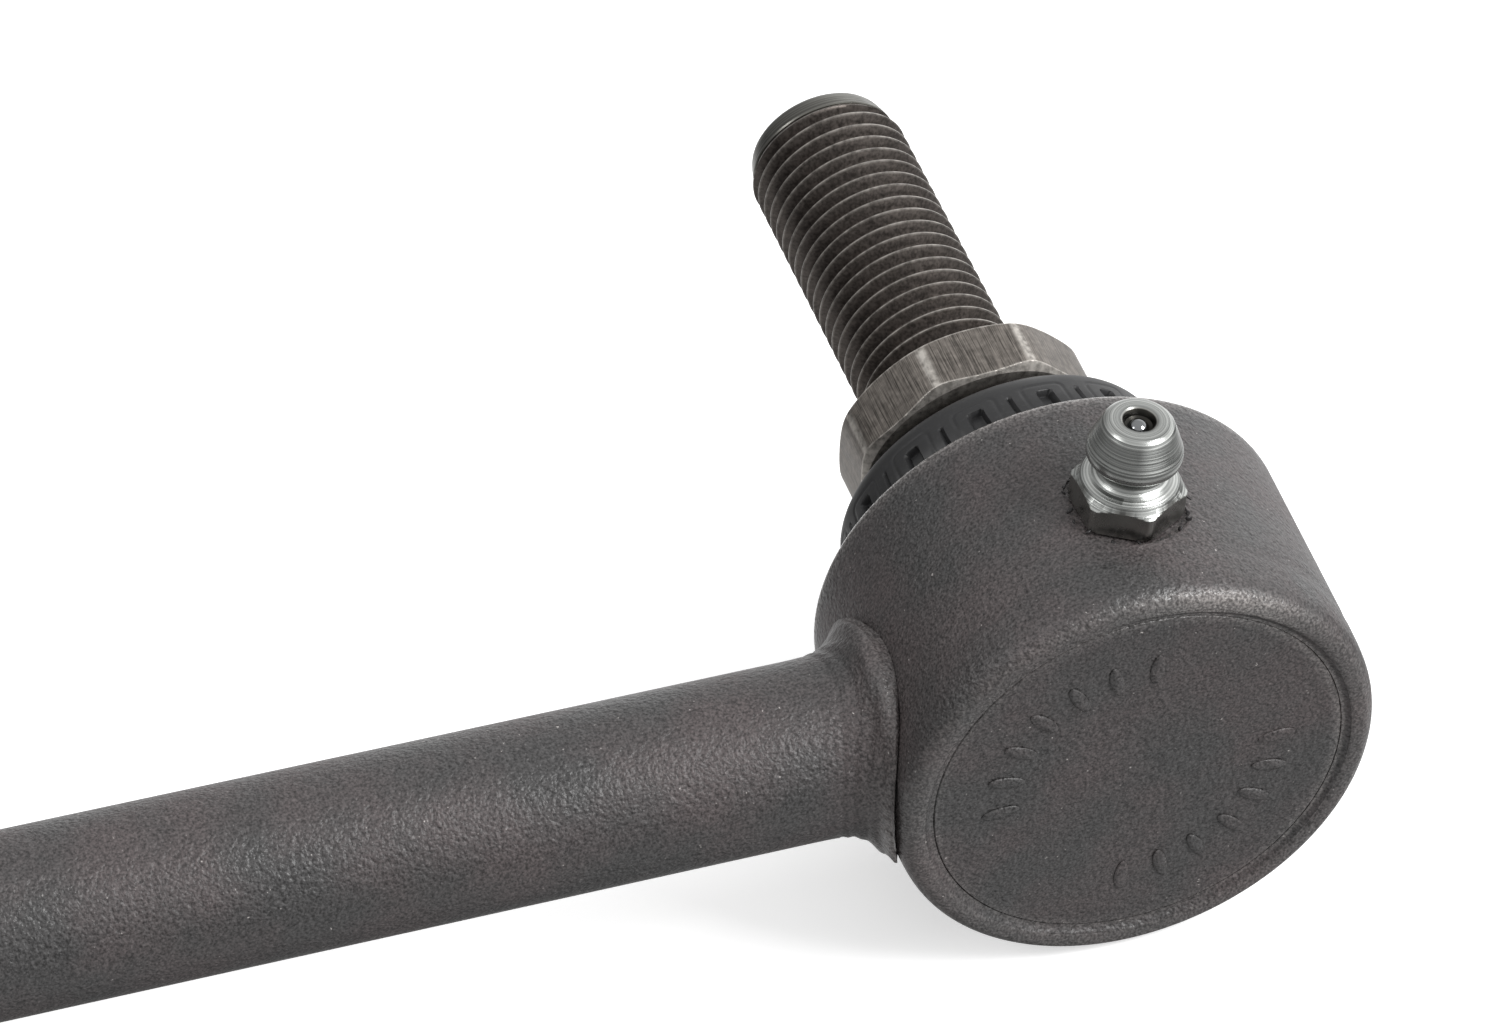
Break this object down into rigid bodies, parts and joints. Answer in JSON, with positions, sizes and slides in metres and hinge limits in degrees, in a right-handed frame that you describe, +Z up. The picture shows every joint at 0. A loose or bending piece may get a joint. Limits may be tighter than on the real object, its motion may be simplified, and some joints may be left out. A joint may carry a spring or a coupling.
{
  "type": "stabilizer link",
  "caption": "Suspension stabilizer link with two greasable ball-joint ends: threaded studs with wrench collars, dust boots, round housings and a straight bar.",
  "frame": {"origin": "on the surface that the link rests on, under the middle of the bar", "axes": "+X along the bar towards the end whose stud points along +Y, +Z up through the grease fittings"},
  "size_m": [0.2544, 0.109, 0.0418],
  "materials": {
    "coated_steel": "satin",
    "bearing_steel": "satin",
    "spring_steel": "satin",
    "stud_steel": "satin",
    "boot_rubber": "satin",
    "ring_steel": "satin",
    "zinc_plate": "gloss",
    "polished_steel": "gloss"
  },
  "bodies": {
    "link": {"link_bar": "coated_steel", "housing_a": "coated_steel", "cover_plate_a": "coated_steel", "upper_bearing_a": "bearing_steel", "thrust_seat_a": "bearing_steel", "preload_spring_a": "spring_steel", "boot_base_ring_a": "ring_steel", "grease_fitting_a": "zinc_plate", "check_spring_a": "spring_steel", "housing_b": "coated_steel", "cover_plate_b": "coated_steel", "upper_bearing_b": "bearing_steel", "thrust_seat_b": "bearing_steel", "preload_spring_b": "spring_steel", "boot_base_ring_b": "ring_steel", "grease_fitting_b": "zinc_plate", "check_spring_b": "spring_steel"},
    "boot_swing_a": {"dust_boot_a": "boot_rubber"},
    "boot_tilt_a": {"boot_neck_ring_a": "ring_steel"},
    "stud_a": {"ball_stud_a": "stud_steel"},
    "check_valve_a": {"check_ball_a": "polished_steel"},
    "boot_swing_b": {"dust_boot_b": "boot_rubber"},
    "boot_tilt_b": {"boot_neck_ring_b": "ring_steel"},
    "stud_b": {"ball_stud_b": "stud_steel"},
    "check_valve_b": {"check_ball_b": "polished_steel"}
  },
  "joints": [
    {"name": "stud_a_swing", "type": "hinge", "parent": "link", "child": "boot_swing_a", "pos_m": [0.11, 0.0015, 0.0172], "axis": [1, 0, 0], "range_deg": [-26.5, 13.5], "deforming": ["dust_boot_a"]},
    {"name": "stud_a_tilt", "type": "hinge", "parent": "boot_swing_a", "child": "boot_tilt_a", "pos_m": [0.11, 0.0015, 0.0172], "axis": [0, -0.1132, 0.9936], "range_deg": [-24.1, 15.9], "deforming": ["dust_boot_a"]},
    {"name": "stud_a_spin", "type": "hinge", "parent": "boot_tilt_a", "child": "stud_a", "pos_m": [0.11, 0.0015, 0.0172], "axis": [-0.0715, 0.991, 0.1129], "continuous": true},
    {"name": "check_ball_a_lift", "type": "slide", "parent": "link", "child": "check_valve_a", "axis": [-0.0819, 0, -0.9966], "range_m": [0, 0.001], "stiffness_N_per_m": 60, "springref_m": -0.0005, "deforming": ["check_spring_a"]},
    {"name": "stud_b_swing", "type": "hinge", "parent": "link", "child": "boot_swing_b", "pos_m": [-0.11, -0.0015, 0.0172], "axis": [-1, 0, 0], "range_deg": [-26.5, 13.5], "deforming": ["dust_boot_b"]},
    {"name": "stud_b_tilt", "type": "hinge", "parent": "boot_swing_b", "child": "boot_tilt_b", "pos_m": [-0.11, -0.0015, 0.0172], "axis": [0, 0.1132, 0.9936], "range_deg": [-24.1, 15.9], "deforming": ["dust_boot_b"]},
    {"name": "stud_b_spin", "type": "hinge", "parent": "boot_tilt_b", "child": "stud_b", "pos_m": [-0.11, -0.0015, 0.0172], "axis": [0.0715, -0.991, 0.1129], "continuous": true},
    {"name": "check_ball_b_lift", "type": "slide", "parent": "link", "child": "check_valve_b", "axis": [0.0819, 0, -0.9966], "range_m": [0, 0.001], "stiffness_N_per_m": 60, "springref_m": -0.0005, "deforming": ["check_spring_b"]}
  ]
}
